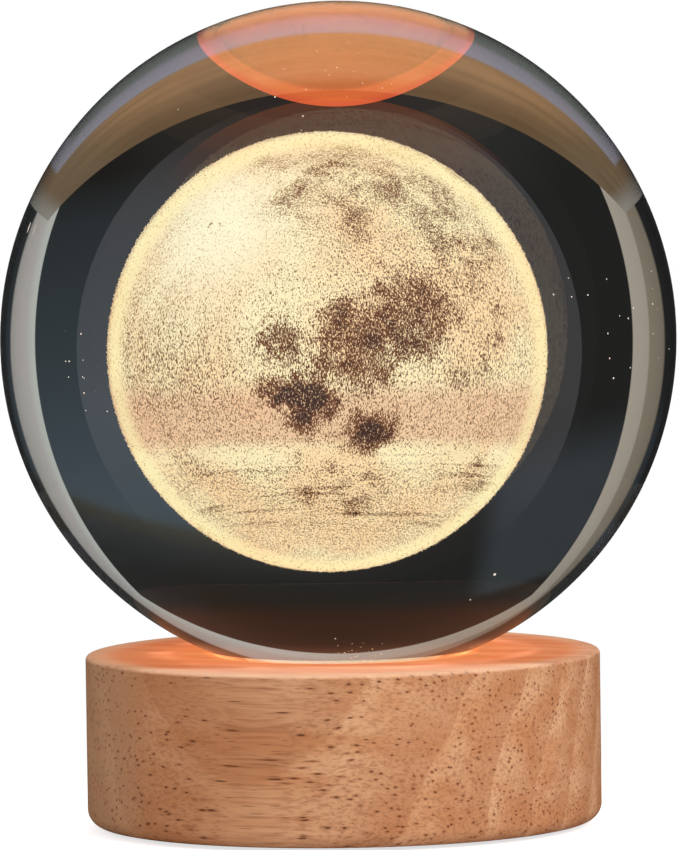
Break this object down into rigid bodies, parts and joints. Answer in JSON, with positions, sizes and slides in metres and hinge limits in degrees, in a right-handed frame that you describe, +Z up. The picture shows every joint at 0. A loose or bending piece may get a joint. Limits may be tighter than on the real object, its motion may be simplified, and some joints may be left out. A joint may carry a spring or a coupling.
{
  "type": "moon lamp",
  "caption": "Table moon lamp: a clear crystal ball with a moon engraved inside rests on a round wooden base that lights it from below; rear power inlet and push button.",
  "frame": {"origin": "middle of the underside, on the plane of the feet", "axes": "+Z up through the base and the ball, +Y to the rear, where the inlet is, +X to the right seen from the front"},
  "size_m": [0.08, 0.08, 0.0977],
  "materials": {
    "crystal": "polished clear optical glass",
    "moon_engraving": "white laser-marked micro-cracks in the glass, lit warm from below",
    "pale_wood": "turned and sanded pale hardwood under clear matt oil",
    "frosted_acrylic": "frosted acrylic",
    "white_plastic": "white moulded plastic",
    "steel": "zinc-plated screws",
    "white_board": "white solder mask on an aluminium board",
    "led_phosphor": "warm-white LED phosphor in a white frame",
    "black_plastic": "black moulded plastic",
    "red_insulation": "red silicone insulation",
    "black_insulation": "black silicone insulation",
    "green_board": "green solder mask on glass-fibre board",
    "plated_shell": "nickel-plated folded steel",
    "gold_contact": "gold-plated contacts",
    "button_plastic": "black button cap",
    "chip_ceramic": "tan ceramic chip capacitor",
    "panel_plastic": "black moulded plastic with a fine spark texture",
    "dark_screw": "blackened steel screws",
    "cover_plastic": "black moulded plastic with a fine spark texture",
    "rubber": "soft black rubber"
  },
  "bodies": {
    "base": {"wood_base": "pale_wood", "lens_disc": "frosted_acrylic", "reflector_cup": "white_plastic", "reflector_screws": "steel", "led_board": "white_board", "leds": "led_phosphor", "led_resistors": "black_plastic", "wire_red": "red_insulation", "wire_black": "black_insulation", "power_board": "green_board", "power_board_screws": "steel", "usb_shell": "plated_shell", "usb_tongue": "black_plastic", "usb_contacts": "gold_contact", "switch_body": "black_plastic", "control_chip": "black_plastic", "board_capacitor": "chip_ceramic", "rear_panel": "panel_plastic", "rear_panel_screws": "dark_screw", "bottom_cover": "cover_plastic", "cover_screws": "steel", "rubber_feet": "rubber"},
    "ball": {"crystal_ball": "crystal", "engraved_moon": "moon_engraving"},
    "button": {"power_button": "button_plastic", "switch_plunger": "white_plastic"}
  },
  "joints": [
    {"name": "ball_lift", "type": "slide", "parent": "base", "child": "ball", "axis": [0, 0, 1], "range_m": [0, 0.06]},
    {"name": "button_press", "type": "slide", "parent": "base", "child": "button", "axis": [0, -1, 0], "range_m": [0, 0.0012], "stiffness_N_per_m": 1500}
  ]
}
